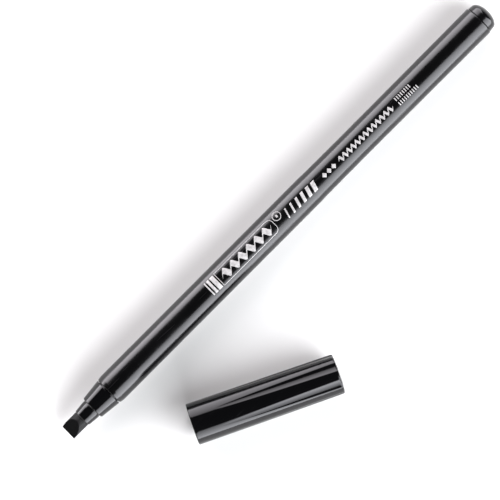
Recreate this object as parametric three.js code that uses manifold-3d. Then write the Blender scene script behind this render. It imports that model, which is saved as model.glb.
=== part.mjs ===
// A broad-nib calligraphy marker lying on a table, uncapped, with its fluted cap beside it.
// Millimetres, +Z up. The pen's axis runs along +X from the nib to the tail plug, and the table
// top is z = 0. The origin is at the middle of the foot of the box around pen and cap.
import * as THREE from 'three';
import { mergeVertices } from 'three/addons/utils/BufferGeometryUtils.js';
import Module from 'manifold-3d';

const wasm = await Module();
wasm.setup();

const degrees = THREE.MathUtils.degToRad;

// ---- driving dimensions: places along the pen from the tip of the nib, and radii ----
const PEN_SIDES = 32;
const PEN_LENGTH = 165.3;

// nib
const NIB_R = 2.44;
const NIB_EDGE_TOP = -0.6;
const NIB_EDGE_THICKNESS = 0.6;
const NIB_TOP_BEVEL = 4.1;
const NIB_UNDER_BEVEL = 1.7;
const NIB_ROLL = degrees(-14);
const NIB_ROD_END = 12.5;
const NIB_SHANK_R = 1.6;
const NIB_SHANK_END = 38;

// collar round the nib
const COLLAR_FRONT = 5.6;
const COLLAR_FRONT_R = 2.64;
const COLLAR_SHOULDER = 8.7;
const COLLAR_BACK = 9.35;
const COLLAR_BACK_R = 2.97;
const COLLAR_SLEEVE_R = 2.88;
const COLLAR_SLEEVE_END = 14;
const COLLAR_BORE_R = 2.51;

// cone in front of the barrel, and its spigot
const CONE_FRONT = 9.65;
const CONE_FRONT_R = 3.62;
const CONE_EDGE = 0.2;
const CONE_BACK = 15.95;
const CONE_BACK_R = 4.3;
const CONE_POCKET_R = 3.12;
const CONE_POCKET_END = 14.3;
const SPIGOT_R = 3.45;
const SPIGOT_END = 28;
const SPIGOT_BORE_R = 1.9;
const VENT_COUNT = 3;
const VENT_WIDTH = 1.2;
const VENT_DEPTH = 0.5;

// barrel
const BARREL_FRONT = 16.25;
const BARREL_MOUTH_R = 4.38;
const BARREL_CHAMFER_END = 17.6;
const BARREL_R = 4.57;
const GRIP_END = 96;
const GRIP_STEP = 0.06;
const WAIST_AT = 115;
const WAIST_R = 4.43;
const BARREL_BACK = 161.6;
const BARREL_EDGE = 0.3;
const BORE_R = 3.78;
const RIB_COUNT = 4;
const RIB_WIDTH = 0.8;
const RIB_INNER_R = 3.4;
const RIB_ROOT = 0.2;
const RIB_START = 30;
const RIB_END = 152.5;

// ink reservoir and its film wrap
const CORE_START = 28.5;
const CORE_END = 110;
const CORE_R = 2.7;
const CORE_SOCKET_R = 1.9;
const CORE_SOCKET_END = 38.6;
const WRAP_INNER_R = 2.86;
const WRAP_R = 3.1;

// tail plug
const PLUG_FRONT = 153.6;
const PLUG_SPIGOT_R = 3.4;
const PLUG_BORE_R = 2.4;
const PLUG_BORE_END = 161;
const PLUG_RING_AT = 157.5;
const PLUG_RING_R = 3.6;
const PLUG_RING_HALF = 0.5;
const PLUG_FLANGE = 161.9;
const PLUG_FLANGE_R = 4.34;
const PLUG_DOME = 163.1;
const PLUG_DOME_R = 4.2;

// cap, along its own axis from its mouth
const CAP_FLUTES = 7;
const CAP_SIDES_PER_FLUTE = 8;
const CAP_SIDES = CAP_SIDES_PER_FLUTE * CAP_FLUTES;
const CAP_LENGTH = 43.4;
const CAP_MOUTH_R = 5.97;
const CAP_END_R = 5.7;
const CAP_LIP = 0.3;
const CAP_RIM = 0.6;
const CAP_DOME = 0.4;
const CAP_BORE_R = 4.85;
const CAP_BORE_END = 41.8;
const CAP_SKIN = 0.1;
const FLUTE_START = 10;
const FLUTE_DEPTH = 0.36;
const FLUTED_STEPS = 4;
const LINER_START = 28.5;
const LINER_END = 41.4;
const LINER_R = 4.5;
const LINER_BORE_R = 3.98;

// where the cap lies: its mouth from the nib's tip, and how its axis is turned
const CAP_MOUTH = new THREE.Vector2(26.05, -22.9);
const CAP_HEADING = degrees(-25.86);
const CAP_TILT = degrees(0.46);

// colours
const BLACK_GLOSS = 0x16161a;
const BLACK_SATIN = 0x1a1a1d;
const FIBRE_GREY = 0x4a4a4c;
const INKED_FIBRE = 0x101013;
const CLEAR_FILM = 0xd8d8d4;
const MILKY_PLASTIC = 0xc9c9c4;

// ---- helpers ----

// A solid of revolution about +X, with one flat side facing straight down. The profile is a list
// of [x, radius] points that runs towards +X along the outside.
function turned(profile, sides = PEN_SIDES) {
  const points = profile.map(([x, radius]) => new THREE.Vector2(radius, x));
  return new THREE.LatheGeometry(points, sides, Math.PI / sides).rotateZ(-Math.PI / 2);
}

function tube(start, end, innerR, outerR, sides = PEN_SIDES) {
  return turned([[start, outerR], [end, outerR], [end, innerR], [start, innerR], [start, outerR]], sides);
}

// Points of a quarter ellipse from [x, radius] outside to the end face: deep along the axis,
// drop towards it. It lies on the +X side, or before x for towards = -1.
function roundedEdge(x, radius, deep, drop, towards = 1, steps = 3) {
  const points = Array.from({ length: steps + 1 }, (_, i) => {
    const turn = (i / steps) * (Math.PI / 2);
    return [x + towards * deep * Math.sin(turn), radius - drop * (1 - Math.cos(turn))];
  });
  return towards > 0 ? points : points.reverse();
}

function block(sizeX, sizeY, sizeZ, x, y, z) {
  return new THREE.BoxGeometry(sizeX, sizeY, sizeZ).translate(x, y, z);
}

// The same tool, count times round the pen's axis.
function roundTheAxis(count, makeTool) {
  return Array.from({ length: count }, (_, i) => makeTool().rotateX((i * 2 * Math.PI) / count));
}

function toManifold(geometry) {
  const bare = geometry.clone();
  bare.deleteAttribute('normal');
  bare.deleteAttribute('uv');
  const merged = mergeVertices(bare, 1e-4);
  const corners = merged.index.array;
  const triangles = [];
  for (let i = 0; i < corners.length; i += 3) {
    const [a, b, c] = corners.slice(i, i + 3);
    if (a !== b && b !== c && c !== a) triangles.push(a, b, c);
  }
  return new wasm.Manifold(new wasm.Mesh({
    numProp: 3,
    vertProperties: Float32Array.from(merged.attributes.position.array),
    triVerts: Uint32Array.from(triangles),
  }));
}

function toGeometry(solid) {
  const { vertProperties, triVerts } = solid.getMesh();
  const geometry = new THREE.BufferGeometry();
  geometry.setAttribute('position', new THREE.BufferAttribute(vertProperties, 3));
  geometry.setIndex(new THREE.BufferAttribute(triVerts, 1));
  return geometry;
}

function cut(body, tools) {
  return toGeometry(tools.reduce((solid, tool) => solid.subtract(toManifold(tool)), toManifold(body)));
}

function join(body, tools) {
  return toGeometry(tools.reduce((solid, tool) => solid.add(toManifold(tool)), toManifold(body)));
}

function part(name, geometry, color, roughness) {
  const material = new THREE.MeshStandardMaterial({ color, roughness, metalness: 0 });
  const mesh = new THREE.Mesh(geometry, material);
  mesh.name = name;
  return mesh;
}

// ---- the pen ----

// The fibre nib: a round rod cut by a long bevel above and a short one below, which leave a chisel
// edge, and a thin shank that draws ink out of the reservoir.
function makeNib() {
  const rod = turned([
    [0, 0], [0, NIB_R], [NIB_ROD_END, NIB_R], [NIB_ROD_END, NIB_SHANK_R],
    [NIB_SHANK_END, NIB_SHANK_R], [NIB_SHANK_END, 0],
  ]);
  const size = 4 * NIB_R;
  const bevel = (edgeZ, length, side) => block(2 * size, size, size, 0, 0, (side * size) / 2)
    .rotateY(-side * Math.atan2(NIB_R - side * edgeZ, length))
    .translate(0, 0, edgeZ);
  const above = bevel(NIB_EDGE_TOP, NIB_TOP_BEVEL, 1);
  const below = bevel(NIB_EDGE_TOP - NIB_EDGE_THICKNESS, NIB_UNDER_BEVEL, -1);
  return cut(rod, [above, below]).rotateX(NIB_ROLL);
}

// The tapered collar that grips the nib, with a sleeve that goes back into the cone.
function makeNibCollar() {
  return turned([
    [COLLAR_FRONT, COLLAR_BORE_R], [COLLAR_FRONT, COLLAR_FRONT_R],
    [COLLAR_SHOULDER, COLLAR_BACK_R], [COLLAR_BACK, COLLAR_BACK_R],
    [COLLAR_BACK, COLLAR_SLEEVE_R], [COLLAR_SLEEVE_END, COLLAR_SLEEVE_R],
    [COLLAR_SLEEVE_END, COLLAR_BORE_R], [COLLAR_FRONT, COLLAR_BORE_R],
  ]);
}

// The cone in front of the barrel. Its spigot plugs the barrel's mouth, and grooves along the
// spigot let air in as the ink goes out.
function makeNibHolder() {
  const holder = turned([
    [CONE_FRONT, CONE_POCKET_R], [CONE_FRONT, CONE_FRONT_R - CONE_EDGE],
    [CONE_FRONT + CONE_EDGE, CONE_FRONT_R], [CONE_BACK, CONE_BACK_R],
    [CONE_BACK, SPIGOT_R], [SPIGOT_END, SPIGOT_R], [SPIGOT_END, SPIGOT_BORE_R],
    [CONE_POCKET_END, SPIGOT_BORE_R], [CONE_POCKET_END, CONE_POCKET_R], [CONE_FRONT, CONE_POCKET_R],
  ]);
  const length = SPIGOT_END - CONE_BACK;
  const groove = () =>
    block(length, VENT_WIDTH, 2 * VENT_DEPTH, CONE_BACK + length / 2 + VENT_DEPTH, 0, SPIGOT_R);
  return cut(holder, roundTheAxis(VENT_COUNT, groove));
}

// The barrel: a straight grip, a slight waist behind it, and ribs inside that centre the reservoir.
function makeBarrel() {
  const halfWay = [(WAIST_AT + BARREL_BACK) / 2, (WAIST_R + BARREL_R) / 2 - GRIP_STEP / 2];
  const shell = turned([
    [BARREL_FRONT, BARREL_MOUTH_R], [BARREL_CHAMFER_END, BARREL_R], [GRIP_END, BARREL_R],
    [GRIP_END + GRIP_STEP, BARREL_R - GRIP_STEP], [WAIST_AT, WAIST_R], halfWay,
    ...roundedEdge(BARREL_BACK - BARREL_EDGE, BARREL_R, BARREL_EDGE, BARREL_EDGE / 2),
    [BARREL_BACK, BORE_R], [BARREL_FRONT, BORE_R], [BARREL_FRONT, BARREL_MOUTH_R],
  ]);
  const length = RIB_END - RIB_START;
  const height = BORE_R + RIB_ROOT - RIB_INNER_R;
  const rib = () => block(length, RIB_WIDTH, height, RIB_START + length / 2, 0, RIB_INNER_R + height / 2);
  return join(shell, roundTheAxis(RIB_COUNT, rib));
}

// The fibre core that holds the ink, with a socket for the nib's shank.
function makeInkReservoir() {
  return turned([
    [CORE_START, CORE_SOCKET_R], [CORE_START, CORE_R], [CORE_END, CORE_R], [CORE_END, 0],
    [CORE_SOCKET_END, 0], [CORE_SOCKET_END, CORE_SOCKET_R], [CORE_START, CORE_SOCKET_R],
  ]);
}

// The plug that closes the tail: a domed flange, and a hollow spigot with a snap ring.
function makeTailPlug() {
  const domeSteps = 8;
  return turned([
    [PLUG_FRONT, PLUG_BORE_R], [PLUG_FRONT, PLUG_SPIGOT_R],
    [PLUG_RING_AT - PLUG_RING_HALF, PLUG_SPIGOT_R], [PLUG_RING_AT, PLUG_RING_R],
    [PLUG_RING_AT + PLUG_RING_HALF, PLUG_SPIGOT_R], [PLUG_FLANGE, PLUG_SPIGOT_R],
    [PLUG_FLANGE, PLUG_FLANGE_R],
    ...roundedEdge(PLUG_DOME, PLUG_DOME_R, PEN_LENGTH - PLUG_DOME, PLUG_DOME_R, 1, domeSteps),
    [PLUG_BORE_END, 0], [PLUG_BORE_END, PLUG_BORE_R], [PLUG_FRONT, PLUG_BORE_R],
  ]);
}

// ---- the cap ----

// How deep the flutes are at a place along the cap and round it: nothing before FLUTE_START, then
// deeper towards the closed end, in shallow arcs whose edges meet the round surface.
function fluteDepth(x, angle) {
  const along = Math.max(0, (x - FLUTE_START) / (CAP_LENGTH - FLUTE_START));
  const spacing = (2 * Math.PI) / CAP_FLUTES;
  const centre = Math.PI + Math.PI / CAP_SIDES;
  const offset = THREE.MathUtils.euclideanModulo(angle - centre + spacing / 2, spacing) - spacing / 2;
  const across = offset / (spacing / 4);
  return FLUTE_DEPTH * along * Math.max(0, 1 - across * across);
}

// The cap's shell: a slim cup, rounded at the mouth and at the closed end, with flutes that fade
// in along it.
function makeCapShell() {
  const rimStart = CAP_LENGTH - CAP_DOME - CAP_RIM;
  const radiusAt = (x) => CAP_MOUTH_R + ((CAP_END_R - CAP_MOUTH_R) * x) / rimStart;
  const flutedRings = Array.from({ length: FLUTED_STEPS }, (_, i) => {
    const x = FLUTE_START + ((rimStart - FLUTE_START) * i) / FLUTED_STEPS;
    return [x, radiusAt(x)];
  });
  const shell = turned([
    [0, CAP_BORE_R],
    ...roundedEdge(CAP_LIP, radiusAt(CAP_LIP), CAP_LIP, CAP_LIP, -1),
    ...flutedRings,
    ...roundedEdge(rimStart, CAP_END_R, CAP_RIM, CAP_RIM),
    [CAP_LENGTH, 0], [CAP_BORE_END, 0], [CAP_BORE_END, CAP_BORE_R], [0, CAP_BORE_R],
  ], CAP_SIDES);
  const places = shell.attributes.position;
  for (let i = 0; i < places.count; i += 1) {
    const x = places.getX(i);
    const y = places.getY(i);
    const z = places.getZ(i);
    const radius = Math.hypot(y, z);
    const outside = radius > CAP_BORE_R + CAP_SKIN;
    const scale = outside ? 1 - fluteDepth(x, Math.atan2(-y, z)) / radius : 1;
    places.setXYZ(i, x, y * scale, z * scale);
  }
  return shell;
}

// ---- the set, in the pen's own frame: axis on +X, nib tip at the origin ----
const pen = new THREE.Group();
pen.add(
  part('nib', makeNib(), FIBRE_GREY, 0.9),
  part('nib_collar', makeNibCollar(), BLACK_GLOSS, 0.15),
  part('nib_holder', makeNibHolder(), BLACK_GLOSS, 0.15),
  part('barrel', makeBarrel(), BLACK_SATIN, 0.3),
  part('ink_reservoir', makeInkReservoir(), INKED_FIBRE, 0.9),
  part('reservoir_wrap', tube(CORE_START, CORE_END, WRAP_INNER_R, WRAP_R), CLEAR_FILM, 0.2),
  part('tail_plug', makeTailPlug(), BLACK_SATIN, 0.3),
);
pen.position.z = BARREL_R * Math.cos(Math.PI / PEN_SIDES);

const cap = new THREE.Group();
cap.add(
  part('cap_shell', makeCapShell(), BLACK_GLOSS, 0.12),
  part('cap_liner', tube(LINER_START, LINER_END, LINER_BORE_R, LINER_R), MILKY_PLASTIC, 0.4),
);
cap.rotation.set(0, CAP_TILT, CAP_HEADING, 'ZYX');
cap.position.set(CAP_MOUTH.x, CAP_MOUTH.y, 0);
cap.position.z = -new THREE.Box3().setFromObject(cap, true).min.z;

const marker = new THREE.Group();
marker.add(pen, cap);
const middle = new THREE.Box3().setFromObject(marker, true).getCenter(new THREE.Vector3());
marker.position.set(-middle.x, -middle.y, 0);

export default marker;
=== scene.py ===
"""Looks of a broad-nib calligraphy marker and its cap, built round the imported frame."""
import math

import bmesh
import bpy
import numpy as np
from mathutils import Matrix, Vector


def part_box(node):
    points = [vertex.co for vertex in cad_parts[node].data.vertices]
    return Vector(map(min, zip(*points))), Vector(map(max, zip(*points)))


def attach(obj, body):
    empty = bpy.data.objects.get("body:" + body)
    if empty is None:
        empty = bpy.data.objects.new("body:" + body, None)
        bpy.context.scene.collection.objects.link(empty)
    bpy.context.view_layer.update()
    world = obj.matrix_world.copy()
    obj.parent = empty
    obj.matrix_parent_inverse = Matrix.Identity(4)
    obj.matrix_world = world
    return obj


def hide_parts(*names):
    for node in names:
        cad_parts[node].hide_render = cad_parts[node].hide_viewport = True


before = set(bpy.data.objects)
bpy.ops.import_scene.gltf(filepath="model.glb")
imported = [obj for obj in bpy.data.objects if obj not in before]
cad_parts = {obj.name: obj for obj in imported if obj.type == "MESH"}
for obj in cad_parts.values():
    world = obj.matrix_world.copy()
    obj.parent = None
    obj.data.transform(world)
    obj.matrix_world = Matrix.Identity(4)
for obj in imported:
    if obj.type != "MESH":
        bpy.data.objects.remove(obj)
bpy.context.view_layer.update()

MM = 0.001

# ---- sizes in millimetres: places along the pen from the tip of the nib, and radii ----
PEN_LENGTH = 165.3
NIB_R = 2.44
NIB_EDGE_TOP = -0.6
NIB_EDGE_THICKNESS = 0.6
NIB_TOP_BEVEL = 4.1
NIB_UNDER_BEVEL = 1.7
NIB_ROLL = math.radians(-14)
NIB_ROD_END = 12.5
NIB_SHANK_R = 1.6
NIB_SHANK_END = 38
COLLAR_FRONT = 5.6
COLLAR_BACK = 9.35
COLLAR_SLEEVE_R = 2.9
COLLAR_SLEEVE_END = 14
CONE_FRONT = 9.62
CONE_BACK = 16.0
CONE_POCKET_R = 3.0
CONE_POCKET_END = 14.2
SPIGOT_R = 3.5
SPIGOT_BORE_R = 1.95
SPIGOT_END = 28
BARREL_FRONT = 16.2
BARREL_R = 4.57
BARREL_BORE_R = 3.7
GRIP_END = 95.6
GRIP_STEP = 0.07
STEP_LENGTH = 1.2
WAIST_AT = 115.0
WAIST_R = 4.43
BARREL_BACK = 161.75
PLUG_FRONT = 153.6
PLUG_SPIGOT_R = 3.4
PLUG_BORE_R = 2.4
PLUG_BORE_END = 161
PLUG_FLANGE = 161.86
PLUG_DOME = 163.1
PLUG_DOME_R = 4.22
CAP_LENGTH = 43.4
CAP_MOUTH_R = 5.97
CAP_END_R = 5.7
CAP_BORE_R = 4.84
CAP_BORE_END = 41.8
FLUTES = 7
FLUTE_START = 7.5
FLUTE_DEPTH = 0.37
FLUTE_HALF_ANGLE = math.radians(12.9)
FLUTE_PHASE = math.radians(27.9)
LINER_START = 28.5
LINER_END = 41.4
LINER_R = 4.5
LINER_BORE_R = 3.98

# ---- camera: the view's width, and its middle from the nib's tip, in pen millimetres ----
VIEW_WIDTH = 138.89
VIEW_MIDDLE = (71.63, -0.02)
PEN_TURN = math.radians(45.075)
LENS = 250.0
SENSOR = 36.0

# ---- floor, lights and the camera's reach, in metres ----
CLIP_END = 20
FLOOR_REACH = 6.0
FLOOR_LEVEL = -0.00002
PANEL_DISTANCE = 1.5


# ---- places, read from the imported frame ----
def middle(node):
    low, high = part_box(node)
    return (low + high) / 2


def pen_place():
    """Turns pen millimetres, x from the nib's tip along the pen's axis, into the row's metres."""
    tip_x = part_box("nib")[0].x
    axis = middle("barrel")
    return Matrix.Translation((tip_x, axis.y, axis.z)) @ Matrix.Scale(MM, 4)


def cap_place():
    """The same for the cap, x from its mouth along its axis: the axis is the CAD shell's long axis."""
    points = np.array([v.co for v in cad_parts["cap_shell"].data.vertices])
    centre = points.mean(0)
    _, _, rows = np.linalg.svd(points - centre)
    along = rows[0]
    if along @ (np.array(middle("cap_liner")) - centre) < 0:
        along = -along
    mouth = centre + along * ((points - centre) @ along).min()
    x_axis = Vector(along).normalized()
    y_axis = Vector((0, 0, 1)).cross(x_axis).normalized()
    z_axis = x_axis.cross(y_axis)
    turn = Matrix((x_axis, y_axis, z_axis)).transposed().to_4x4()
    return Matrix.Translation(mouth) @ turn @ Matrix.Scale(MM, 4)


# ---- outlines and solids ----
def rounded(points, closed=False, steps=5):
    """An outline from [x, r] or [x, r, fillet] points, with each fillet as an arc."""
    out = []
    count = len(points)
    for i, point in enumerate(points):
        here = np.array(point[:2], float)
        fillet = point[2] if len(point) > 2 else 0
        if not fillet or (not closed and i in (0, count - 1)):
            out.append(here)
            continue
        before = np.array(points[i - 1][:2], float) - here
        after = np.array(points[(i + 1) % count][:2], float) - here
        a, b = before / np.linalg.norm(before), after / np.linalg.norm(after)
        half = math.acos(max(-1, min(1, a @ b))) / 2
        room = 0.45 * min(np.linalg.norm(before), np.linalg.norm(after))
        reach = min(fillet / math.tan(half), room)
        radius = reach * math.tan(half)
        centre = here + (a + b) / np.linalg.norm(a + b) * (radius / math.sin(half))
        start, end = here + a * reach - centre, here + b * reach - centre
        sweep = math.pi - 2 * half
        turn = math.copysign(1, start[0] * end[1] - start[1] * end[0])
        support = 0.3 * reach
        out.append(here + a * (reach + support))
        for k in range(steps + 1):
            angle = turn * sweep * k / steps
            c, s = math.cos(angle), math.sin(angle)
            out.append(centre + np.array((start[0] * c - start[1] * s, start[0] * s + start[1] * c)))
        out.append(here + b * (reach + support))
    return out


def make_object(name, verts, faces, place, body, material, replaces=(), values=None):
    """A smooth piece from millimetre points. values is (name, a number for each point)."""
    mesh = bpy.data.meshes.new(name)
    mesh.from_pydata([place @ Vector(v) for v in verts], [], faces)
    if values:
        mesh.attributes.new(values[0], "FLOAT", "POINT").data.foreach_set("value", values[1])
    bm = bmesh.new()
    bm.from_mesh(mesh)
    bmesh.ops.remove_doubles(bm, verts=bm.verts, dist=1e-8)
    bmesh.ops.dissolve_degenerate(bm, edges=bm.edges, dist=1e-9)
    bmesh.ops.delete(bm, geom=[edge for edge in bm.edges if not edge.link_faces], context="EDGES")
    bmesh.ops.recalc_face_normals(bm, faces=bm.faces)
    for face in bm.faces:
        face.smooth = True
    bm.to_mesh(mesh)
    bm.free()
    mesh.materials.append(material)
    piece = bpy.data.objects.new(name, mesh)
    bpy.context.scene.collection.objects.link(piece)
    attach(piece, body)
    if replaces:
        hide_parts(*replaces)
    return piece


def grid_faces(rings, around, closed=False):
    """Quads between rings of the same number of points; closed joins the last ring to the first."""
    faces = []
    for i in range(rings if closed else rings - 1):
        a, b = i * around, ((i + 1) % rings) * around
        for j in range(around):
            k = (j + 1) % around
            faces.append((a + j, b + j, b + k, a + k))
    return faces


def turned(profile, closed, around=144, radius_at=None):
    """Vertices and faces of a solid of revolution about x. radius_at bends a ring's radius by angle."""
    verts = []
    for x, r in profile:
        for j in range(around):
            angle = 2 * math.pi * j / around
            radius = radius_at(x, r, angle) if radius_at else r
            verts.append((x, -radius * math.sin(angle), radius * math.cos(angle)))
    faces = grid_faces(len(profile), around, closed)
    return verts, faces


# ---- materials ----
def node(tree, kind, **inputs):
    """A new node. Each keyword sets the input of that name, or else the node's own property."""
    made = tree.nodes.new(kind)
    for key, value in inputs.items():
        if key in made.inputs:
            made.inputs[key].default_value = value
        else:
            setattr(made, key, value)
    return made


def new_material(name, colour, roughness):
    material = bpy.data.materials.new(name)
    material.use_nodes = True
    shader = material.node_tree.nodes["Principled BSDF"]
    shader.inputs["Base Color"].default_value = (*colour, 1)
    shader.inputs["Roughness"].default_value = roughness
    return material, material.node_tree, shader


def noise_chain(tree, scale, detail=4.0, stretch=(1, 1, 1)):
    """Noise over the piece's own metres, stretched along its axes."""
    coordinates = node(tree, "ShaderNodeTexCoord")
    mapping = node(tree, "ShaderNodeMapping", Scale=stretch)
    noise = node(tree, "ShaderNodeTexNoise", Scale=scale, Detail=detail)
    tree.links.new(coordinates.outputs["Object"], mapping.inputs["Vector"])
    tree.links.new(mapping.outputs["Vector"], noise.inputs["Vector"])
    return noise.outputs["Fac"]


def spread(tree, value, low, high, from_low=0.3, from_high=0.7):
    """Maps a noise value to a range."""
    mapped = node(tree, "ShaderNodeMapRange")
    mapped.inputs["From Min"].default_value = from_low
    mapped.inputs["From Max"].default_value = from_high
    mapped.inputs["To Min"].default_value = low
    mapped.inputs["To Max"].default_value = high
    tree.links.new(value, mapped.inputs["Value"])
    return mapped.outputs["Result"]


def colour_between(tree, value, first, second):
    mix = node(tree, "ShaderNodeMix", data_type="RGBA")
    mix.inputs["A"].default_value = (*first, 1)
    mix.inputs["B"].default_value = (*second, 1)
    tree.links.new(value, mix.inputs["Factor"])
    return mix.outputs["Result"]


def bumps(tree, shader, heights):
    """Stacks (height value, distance in metres, strength) bumps onto the shader's normal."""
    normal = None
    for value, distance, strength in heights:
        bump = node(tree, "ShaderNodeBump", Distance=distance, Strength=strength)
        tree.links.new(value, bump.inputs["Height"])
        if normal:
            tree.links.new(normal, bump.inputs["Normal"])
        normal = bump.outputs["Normal"]
    tree.links.new(normal, shader.inputs["Normal"])


def total(tree, values):
    """Adds up node values."""
    added = values[0]
    for value in values[1:]:
        plus = node(tree, "ShaderNodeMath", operation="ADD")
        tree.links.new(added, plus.inputs[0])
        tree.links.new(value, plus.inputs[1])
        added = plus.outputs["Value"]
    return added


def plastic(name, colour, roughness, roughness_spread, ripple, scratch, specular=0.5):
    """Moulded plastic: a slow ripple from the mould, gloss that handling has dulled in patches, and
    hairlines from use."""
    material, tree, shader = new_material(name, colour, roughness)
    shader.inputs["Specular IOR Level"].default_value = specular
    links = tree.links.new
    handling = spread(tree, noise_chain(tree, 260, 5),
                      roughness - roughness_spread, roughness + roughness_spread)
    smudges = spread(tree, noise_chain(tree, 70, 4), 0, 0.05, 0.52, 0.64)
    hairlines = spread(tree, noise_chain(tree, 1500, 2, (0.05, 1, 1)), 0, 1, 0.62, 0.7)
    scuffs = spread(tree, hairlines, 0, 0.14, 0, 1)
    links(total(tree, [handling, smudges, scuffs]), shader.inputs["Roughness"])
    lighter = tuple(c * 1.6 for c in colour)
    links(colour_between(tree, noise_chain(tree, 90, 3), colour, lighter), shader.inputs["Base Color"])
    bumps(tree, shader, [
        (noise_chain(tree, 320, 2), ripple * MM, 1.0),
        (noise_chain(tree, 5200, 3, (0.12, 1, 1)), scratch * MM, 1.0),
        (hairlines, -0.0012 * MM, 1.0),
    ])
    return material


def fibre_nib():
    """Pressed fibre: dark streaks along the rod, and near black where the point attribute is high: a
    real ink stain on the bevels, and painted shade in a ring at the collar's mouth.
    """
    material, tree, shader = new_material("nib_fibre", (0.01, 0.01, 0.01), 0.6)
    links = tree.links.new
    ink_and_shade = node(tree, "ShaderNodeAttribute", attribute_name="ink_and_shade")
    streaks = noise_chain(tree, 2600, 5, (0.16, 1, 1))
    dry = colour_between(tree, spread(tree, streaks, 0, 1),
                         (0.006, 0.006, 0.006), (0.025, 0.0247, 0.0247))
    mix = node(tree, "ShaderNodeMix", data_type="RGBA")
    # Near-black colour: the ink stain on the bevels, and painted shade in a ring at the collar's mouth.
    mix.inputs["B"].default_value = (0.0022, 0.0022, 0.0024, 1)
    links(dry, mix.inputs["A"])
    links(ink_and_shade.outputs["Fac"], mix.inputs["Factor"])
    links(mix.outputs["Result"], shader.inputs["Base Color"])
    links(spread(tree, ink_and_shade.outputs["Fac"], 0.55, 0.35, 0, 1), shader.inputs["Roughness"])
    shader.inputs["Specular IOR Level"].default_value = 0.14
    bumps(tree, shader, [
        (streaks, 0.025 * MM, 0.8),
        (noise_chain(tree, 14000, 3, (0.35, 1, 1)), 0.008 * MM, 0.7),
    ])
    return material


def printed_ink():
    """Pad-printed ink: a warm white, a little thin in places and rubbed."""
    material, tree, shader = new_material("print_white", (0.8, 0.79, 0.77), 0.5)
    rub = spread(tree, noise_chain(tree, 1500, 5), 0, 1, 0.25, 0.6)
    worn = colour_between(tree, rub, (0.3, 0.292, 0.284), (0.5, 0.49, 0.475))
    tree.links.new(worn, shader.inputs["Base Color"])
    bumps(tree, shader, [(noise_chain(tree, 6000, 2), 0.006 * MM, 0.5)])
    return material


def soaked_fibre():
    """The reservoir's fibre, with strands along its length."""
    material, tree, shader = new_material("inked_fibre", (0.01, 0.01, 0.012), 0.8)
    strands = noise_chain(tree, 3500, 4, (0.05, 1, 1))
    wet = colour_between(tree, strands, (0.004, 0.004, 0.006), (0.03, 0.03, 0.034))
    tree.links.new(wet, shader.inputs["Base Color"])
    bumps(tree, shader, [(strands, 0.05 * MM, 1.0)])
    return material


def clear_film():
    """The thin clear film round the reservoir."""
    material, tree, shader = new_material("clear_film", (0.75, 0.75, 0.73), 0.15)
    shader.inputs["Transmission Weight"].default_value = 0.7
    bumps(tree, shader, [(noise_chain(tree, 700, 2), 0.03 * MM, 1.0)])
    return material


# ---- the pen's pieces ----
def barrel_radius(x):
    """Straight grip, a small step down, a slow waist and a slow swell to the tail."""
    if x <= GRIP_END:
        return BARREL_R
    step_end = GRIP_END + STEP_LENGTH
    if x < step_end:
        t = (x - GRIP_END) / STEP_LENGTH
        return BARREL_R - GRIP_STEP * t * t * (3 - 2 * t)
    if x < WAIST_AT:
        t = (WAIST_AT - x) / (WAIST_AT - step_end)
        return WAIST_R + (BARREL_R - GRIP_STEP - WAIST_R) * t * t
    t = (x - WAIST_AT) / (BARREL_BACK - WAIST_AT)
    return WAIST_R + (BARREL_R - WAIST_R + 0.005) * t ** 1.3


def make_barrel(place, material):
    step_end = GRIP_END + STEP_LENGTH
    stations = [*np.arange(20, GRIP_END, 12), *np.linspace(GRIP_END, step_end, 9),
                *np.linspace(step_end + 1, BARREL_BACK - 1.5, 40)]
    outside = [(x, barrel_radius(x)) for x in stations]
    profile = rounded([
        (BARREL_FRONT, BARREL_BORE_R, 0.05), (BARREL_FRONT, 4.16, 0.04),
        (BARREL_FRONT + 0.24, 4.4, 0.06), (17.55, BARREL_R, 0.9),
        *outside,
        (BARREL_BACK, barrel_radius(BARREL_BACK), 0.38), (BARREL_BACK, BARREL_BORE_R, 0.05),
    ], closed=True)
    verts, faces = turned(profile, True)
    return make_object("barrel_skin", verts, faces, place, "pen",
                       material, ["barrel"])


def make_nib_holder(place, material):
    profile = rounded([
        (CONE_FRONT, CONE_POCKET_R, 0.03), (CONE_FRONT, 3.32, 0.04), (CONE_FRONT + 0.28, 3.64, 0.06),
        (CONE_BACK, 4.3, 0.1), (CONE_BACK, SPIGOT_R, 0.05),
        (SPIGOT_END, SPIGOT_R, 0.2), (SPIGOT_END, SPIGOT_BORE_R, 0.1),
        (CONE_POCKET_END, SPIGOT_BORE_R), (CONE_POCKET_END, CONE_POCKET_R),
    ], closed=True)
    verts, faces = turned(profile, True)
    return make_object("nib_holder_cone", verts, faces, place, "pen",
                       material, ["nib_holder"])


def make_nib_collar(place, material):
    profile = rounded([
        (COLLAR_FRONT, 2.48, 0.01), (COLLAR_FRONT, 2.5, 0.01), (COLLAR_FRONT + 0.2, 2.69, 0.05),
        (8.6, 2.965, 1.2), (COLLAR_BACK, 2.975, 0.06), (COLLAR_BACK, COLLAR_SLEEVE_R, 0.02),
        (COLLAR_SLEEVE_END, COLLAR_SLEEVE_R, 0.1), (COLLAR_SLEEVE_END, 2.5),
    ], closed=True)
    verts, faces = turned(profile, True)
    return make_object("nib_collar_ring", verts, faces, place, "pen",
                       material, ["nib_collar"])


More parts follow.
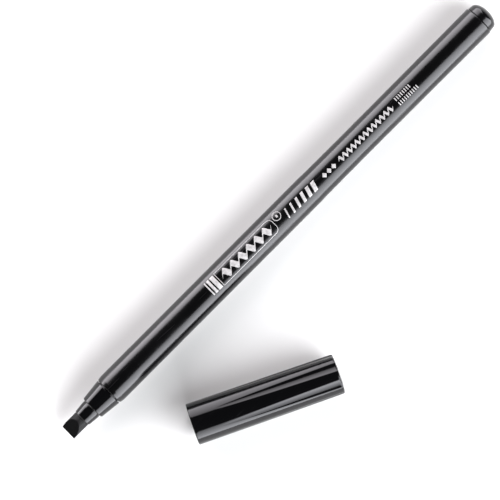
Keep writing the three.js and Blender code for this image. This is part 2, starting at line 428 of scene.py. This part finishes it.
def make_tail_plug(place, material):
    """The domed plug, with the small sunk mark of its mould gate at the end."""
    dome_steps = 18
    dome = []
    for i in range(dome_steps):
        turn = math.pi / 2 * i / dome_steps
        dome.append((PLUG_DOME + (PEN_LENGTH - PLUG_DOME) * math.sin(turn),
                     PLUG_DOME_R * math.cos(turn)))
    gate_r, gate_depth = 0.55, 0.12
    gate = [(x, r) for x, r in dome if r > gate_r * 1.5]
    profile = rounded([
        (PLUG_FRONT, PLUG_BORE_R), (PLUG_FRONT, PLUG_SPIGOT_R, 0.2),
        (PLUG_FLANGE, PLUG_SPIGOT_R, 0.02), (PLUG_FLANGE, 4.34, 0.07), *gate,
        (PEN_LENGTH - 0.02, gate_r * 1.25), (PEN_LENGTH - 0.05, gate_r, 0.05),
        (PEN_LENGTH - gate_depth, gate_r * 0.9, 0.05), (PEN_LENGTH - gate_depth, 0.0),
        (PLUG_BORE_END, 0.0), (PLUG_BORE_END, PLUG_BORE_R),
    ], closed=True)
    verts, faces = turned(profile, True)
    return make_object("tail_plug_dome", verts, faces, place, "pen",
                       material, ["tail_plug"])


def nib_top(x):
    """Height of the long bevel's plane over the nib's axis."""
    return NIB_EDGE_TOP + (NIB_R - NIB_EDGE_TOP) / NIB_TOP_BEVEL * x


def nib_under(x):
    """Height of the short bevel's plane below it."""
    low = NIB_EDGE_TOP - NIB_EDGE_THICKNESS
    return low - (NIB_R + low) / NIB_UNDER_BEVEL * x


def nib_ring(x, radius):
    """A section of the nib: a chord on each bevel, joined by the rod's two round sides."""
    least = 0.03
    above = max(math.acos(min(1, max(-1, nib_top(x) / NIB_R))), least)
    below = max(math.acos(min(1, max(-1, -nib_under(x) / NIB_R))), least)
    side = math.pi - above - below
    across, curve = np.linspace(-1, 1, 33), np.linspace(0, 1, 18)[1:-1]

    def chord(half, facing):
        return [(x, -facing * radius * math.sin(half) * t, facing * radius * math.cos(half))
                for t in across]

    def round_side(start):
        return [(x, -radius * math.sin(start + side * t), radius * math.cos(start + side * t))
                for t in curve]

    return [*chord(above, 1), *round_side(above), *chord(below, -1), *round_side(math.pi + below)]


def nib_ink_and_shade(x, z):
    """How dark the fibre is made: a real ink stain, full on the bevels and fading behind them, and
    painted shade from just in front of the collar's mouth back, standing in for the shadow in the gap
    there.
    """
    gap = min(nib_top(x) - z, z - nib_under(x))
    edge = min(1, max(0, 1 - gap / 0.16))
    bleed = min(1, max(0, 1 - gap / 1.1))
    # Painted shade: a dark ring on the nib at the collar's mouth, standing in for the shadow in the gap
    # there.
    collar = min(1, max(0, (x - COLLAR_FRONT + 0.3) / 0.1))
    return max(edge, 0.45 * bleed * bleed, collar)


def make_nib(place, material):
    rod = [*np.linspace(0, 4.4, 56), *np.linspace(4.6, 5.5, 10), 6, NIB_ROD_END]
    stations = [(x, NIB_R) for x in rod]
    stations += [(x, NIB_SHANK_R) for x in (NIB_ROD_END, 20, 29, NIB_SHANK_END)]
    points = [point for x, radius in stations for point in nib_ring(x, radius)]
    around = len(points) // len(stations)
    faces = grid_faces(len(stations), around)
    faces.append(tuple(range(around)))
    faces.append(tuple(range(len(points) - around, len(points))))
    roll = Matrix.Rotation(NIB_ROLL, 4, "X")
    ink_and_shade = [nib_ink_and_shade(x, z) for x, _, z in points]
    verts = [roll @ Vector(point) for point in points]
    return make_object("nib_fibre_tip", verts, faces, place, "pen",
                       material, ["nib"], ("ink_and_shade", ink_and_shade))


# ---- the cap's pieces ----
def cap_radius(x):
    return CAP_MOUTH_R + (CAP_END_R - CAP_MOUTH_R) * min(1, max(0, x / CAP_LENGTH))


def make_cap_shell(place, material):
    """The cap's wall. Seven flutes start near the mouth and grow wider and deeper to the closed end."""
    rim, dome, lip = 0.55, 0.38, 0.3
    outline = []
    for t in np.linspace(0, math.pi / 2, 7):
        outline.append((lip * (1 - math.sin(t)), cap_radius(0) - lip * (1 - math.cos(t))))
    outline = outline[::-1]
    outline += [(x, cap_radius(x)) for x in np.linspace(1, CAP_LENGTH - dome - rim, 110)]
    for t in np.linspace(0, math.pi / 2, 9)[1:]:
        outline.append((CAP_LENGTH - dome - rim + rim * math.sin(t),
                        CAP_END_R - rim * (1 - math.cos(t))))
    edge_r = CAP_END_R - rim
    outline += [(CAP_LENGTH - dome * (r / edge_r) ** 2, r) for r in np.linspace(edge_r, 0.9, 10)[1:]]
    outline += [(CAP_LENGTH, 0.7), (CAP_LENGTH - 0.1, 0.62), (CAP_LENGTH - 0.1, 0.0)]
    inside = rounded([
        (CAP_BORE_END, 0.0), (CAP_BORE_END, CAP_BORE_R, 0.5), (1.2, CAP_BORE_R, 0.3),
        (0.9, CAP_BORE_R + 0.25, 0.1), (0, CAP_BORE_R + 0.3, 0.1),
    ])
    spacing = 2 * math.pi / FLUTES
    in_flute = np.linspace(-1, 1, 22)
    on_land = np.linspace(0, 1, 20)[1:-1]
    verts = []
    for i, (x, r) in enumerate(outline + inside):
        outer = i < len(outline) and r > CAP_BORE_R
        along = max(0.002, (x - FLUTE_START) / (CAP_LENGTH - FLUTE_START))
        half = FLUTE_HALF_ANGLE * math.sqrt(along)
        for k in range(FLUTES):
            centre = FLUTE_PHASE + k * spacing
            for t in in_flute:
                depth = FLUTE_DEPTH * along * (1 - t * t) if outer else 0
                angle = centre + half * t
                verts.append((x, -(r - depth) * math.sin(angle), (r - depth) * math.cos(angle)))
            for t in on_land:
                angle = centre + half + (spacing - 2 * half) * t
                verts.append((x, -r * math.sin(angle), r * math.cos(angle)))
    around = FLUTES * (len(in_flute) + len(on_land))
    faces = grid_faces(len(outline) + len(inside), around, True)
    return make_object("cap_fluted_shell", verts, faces, place, "cap",
                       material, ["cap_shell"])


def make_cap_liner(place, material):
    profile = rounded([
        (LINER_START, LINER_BORE_R, 0.25), (LINER_START, LINER_R, 0.1),
        (LINER_END, LINER_R, 0.1), (LINER_END, LINER_BORE_R, 0.1),
    ], closed=True)
    verts, faces = turned(profile, True, 112)
    return make_object("cap_inner_liner", verts, faces, place, "cap",
                       material, ["cap_liner"])


# ---- the print: strokes of a pen, in millimetres along the barrel and round it ----
def straight(start, end, steps=8):
    first, last = np.array(start), np.array(end)
    return [tuple(first + (last - first) * i / steps) for i in range(steps + 1)]


def wave(start, end, level, height, turns):
    steps = 20 * turns
    return [(start + (end - start) * i / steps,
             level + height * math.sin(2 * math.pi * turns * i / steps))
            for i in range(steps + 1)]


def arc(centre, radius, start, end, steps=16):
    angles = np.radians(np.linspace(start, end, steps + 1))
    return [(centre[0] + radius * math.cos(a), centre[1] + radius * math.sin(a)) for a in angles]


def frame_line(start, end, low, high, corner):
    """A frame with two square corners and two round ones."""
    return [
        *straight((start, low), (start, high)),
        *straight((start, high), (end - corner, high), 24)[1:],
        *arc((end - corner, high - corner), corner, 90, 0, 8)[1:],
        *straight((end, high - corner), (end, low + corner), 6)[1:],
        *arc((end - corner, low + corner), corner, 0, -90, 8)[1:],
        *straight((end - corner, low), (start, low), 24)[1:],
    ]


def print_strokes():
    """(path, pen width, pen angle) of generic pen exercises: without an angle the pen turns with
    its path."""
    strokes = [(straight((u, -1.95), (u, 2.5)), width, None)
               for u, width in ((56.0, 0.4), (57.1, 0.8), (58.6, 1.3))]
    strokes.append((frame_line(59.8, 81.5, -2.0, 2.55, 1.5), 0.17, None))
    strokes.append((wave(61.3, 80.0, 0.27, 0.95, 6), 1.75, 50))
    strokes.append((arc((83.4, 1.45), 1.25, 0, 360, 32), 0.2, None))
    strokes.append((straight((83.1, 1.45), (83.7, 1.45), 4), 0.8, None))
    for i in range(6):
        u = 86.1 + 2.1 * i
        width = 0.45 + 0.17 * i
        strokes.append((straight((u - 0.4, -1.55), (u + 0.4, 1.35)), width, 0))
    for u in (100.8, 102.6, 104.4):
        strokes.append((straight((u - 0.4, -0.4), (u + 0.4, 0.4)), 1.15, -45))
    strokes.append((wave(106.6, 127.4, 0, 0.72, 13), 0.8, 50))
    for row, count in ((-0.75, 10), (0.95, 8)):
        for i in range(count):
            u = 129.5 + 0.75 * i
            strokes.append((straight((u, row - 0.55), (u, row + 0.55), 4), 0.3, 0))
    return strokes


def pen_across(path, i, angle, ring):
    """The direction of the pen's edge at point i of a path, which a ring closes on itself."""
    if angle is not None:
        return np.array((math.cos(math.radians(angle)), math.sin(math.radians(angle))))
    before = path[i - 1] if i or ring else path[0]
    after = path[(i + 1) % len(path)] if i + 1 < len(path) or ring else path[i]
    step = np.array(after) - np.array(before)
    return np.array((-step[1], step[0])) / np.linalg.norm(step)


def make_print(place, material):
    """Each stroke is a thin closed skin over the barrel, with a few columns across the pen's width."""
    lift, sink, columns = 0.014, 0.03, 7
    loop = 2 * columns
    verts, faces = [], []
    for path, width, angle in print_strokes():
        base = len(verts)
        ring = math.dist(path[0], path[-1]) < 1e-6
        if ring:
            path = path[:-1]
        for i, point in enumerate(path):
            nib = pen_across(path, i, angle, ring) * width
            across = [np.array(point) + nib * t for t in np.linspace(-0.5, 0.5, columns)]
            for height, row in ((lift, across), (-sink, across[::-1])):
                for u, v in row:
                    r = barrel_radius(u) + height
                    verts.append((u, r * math.sin(v / BARREL_R), r * math.cos(v / BARREL_R)))
        faces += [tuple(base + k for k in face) for face in grid_faces(len(path), loop, ring)]
        if not ring:
            for first in (base, len(verts) - loop):
                faces += [(first + k, first + k + 1, first + loop - 2 - k, first + loop - 1 - k)
                          for k in range(columns - 1)]
    return make_object("barrel_print", verts, faces, place, "pen", material)


# ---- stage, lights and camera ----
def make_floor():
    material, _, _ = new_material("floor_white", (0.885, 0.885, 0.85), 0.7)
    mesh = bpy.data.meshes.new("floor")
    corners = [(x * FLOOR_REACH, y * FLOOR_REACH, FLOOR_LEVEL)
               for x, y in ((-1, -1), (1, -1), (1, 1), (-1, 1))]
    mesh.from_pydata(corners, [], [(0, 1, 2, 3)])
    mesh.materials.append(material)
    floor = bpy.data.objects.new("floor", mesh)
    bpy.context.scene.collection.objects.link(floor)


def add_panel(name, azimuth, steepness, reach, radiance, fade, near, colour):
    """A very long softbox standing on the table, in metres. azimuth is where its plane is nearest, and
    reach is how far it runs along that plane. It is brightest low down, with 1 - fade left at its
    top, and near is its strength at one end against 1 at the other."""
    length = reach[1] - reach[0]
    height = PANEL_DISTANCE * steepness
    light = bpy.data.lights.new(name, "AREA")
    light.shape = "RECTANGLE"
    light.size, light.size_y = length, height
    light.energy = 4 * radiance * length * height
    light.color = colour
    light.use_nodes = True
    tree = light.node_tree
    across = node(tree, "ShaderNodeSeparateXYZ")
    tree.links.new(node(tree, "ShaderNodeNewGeometry").outputs["Parametric"], across.inputs["Vector"])
    rising = spread(tree, across.outputs["Y"], 1.0, 1.0 - fade, 0, 1)
    sideways = spread(tree, across.outputs["X"], near, 1.0, 0.2, 0.48)
    strength = node(tree, "ShaderNodeMath", operation="MULTIPLY")
    tree.links.new(rising, strength.inputs[0])
    tree.links.new(sideways, strength.inputs[1])
    tree.links.new(strength.outputs["Value"], tree.nodes["Emission"].inputs["Strength"])
    panel = bpy.data.objects.new(name, light)
    turn = math.radians(azimuth)
    towards = Vector((math.cos(turn), math.sin(turn), 0))
    along = Vector((-math.sin(turn), math.cos(turn), 0))
    middle_height = Vector((0, 0, height / 2))
    panel.location = towards * PANEL_DISTANCE + along * sum(reach) / 2 + middle_height
    panel.rotation_euler = (-towards).to_track_quat("-Z", "Y").to_euler()
    panel.visible_camera = False
    bpy.context.scene.collection.objects.link(panel)


def make_lights():
    world = bpy.data.worlds.new("studio")
    world.use_nodes = True
    background = world.node_tree.nodes["Background"]
    background.inputs["Color"].default_value = (0.05, 0.05, 0.052, 1)
    bpy.context.scene.world = world
    add_panel("panel_left", 43, 1.33, (-0.4, 3.9), 9.2, 0.65, 0.6, (0.98, 0.945, 1.0))
    add_panel("panel_right", -59, 1.83, (-4.3, 0.5), 8.0, 0.66, 1.0, (0.935, 0.945, 1.0))


def make_camera():
    """Straight above, turned so that the pen runs from the lower left to the upper right."""
    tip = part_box("nib")[0].x
    axis = middle("barrel")
    data = bpy.data.cameras.new("camera")
    data.lens = LENS
    data.sensor_width = SENSOR
    data.clip_end = CLIP_END
    camera = bpy.data.objects.new("camera", data)
    distance = VIEW_WIDTH * MM * LENS / SENSOR
    along, aside = VIEW_MIDDLE
    camera.location = (tip + along * MM, axis.y + aside * MM, axis.z + distance)
    camera.rotation_euler = (0, 0, -PEN_TURN)
    bpy.context.scene.collection.objects.link(camera)
    bpy.context.scene.camera = camera


def main():
    make_camera()
    make_floor()
    make_lights()
    barrel_black = plastic("barrel_black", (0.001, 0.001, 0.0011), 0.17, 0.025, 0.02, 0.003, 0.46)
    gloss_black = plastic("gloss_black", (0.0012, 0.0012, 0.0014), 0.09, 0.03, 0.01, 0.0006, 0.42)
    cap_black = plastic("cap_black", (0.0012, 0.0012, 0.0014), 0.08, 0.03, 0.01, 0.0006, 0.34)
    liner_plastic = plastic("liner_plastic", (0.5, 0.5, 0.48), 0.35, 0.06, 0.02, 0.002)
    pen, cap = pen_place(), cap_place()
    make_barrel(pen, barrel_black)
    make_nib_holder(pen, gloss_black)
    make_nib_collar(pen, gloss_black)
    make_tail_plug(pen, barrel_black)
    make_nib(pen, fibre_nib())
    make_print(pen, printed_ink())
    make_cap_shell(cap, cap_black)
    make_cap_liner(cap, liner_plastic)
    for name, material in (("ink_reservoir", soaked_fibre()), ("reservoir_wrap", clear_film())):
        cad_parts[name].data.materials.clear()
        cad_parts[name].data.materials.append(material)


main()
bpy.context.scene.view_settings.view_transform = "Standard"
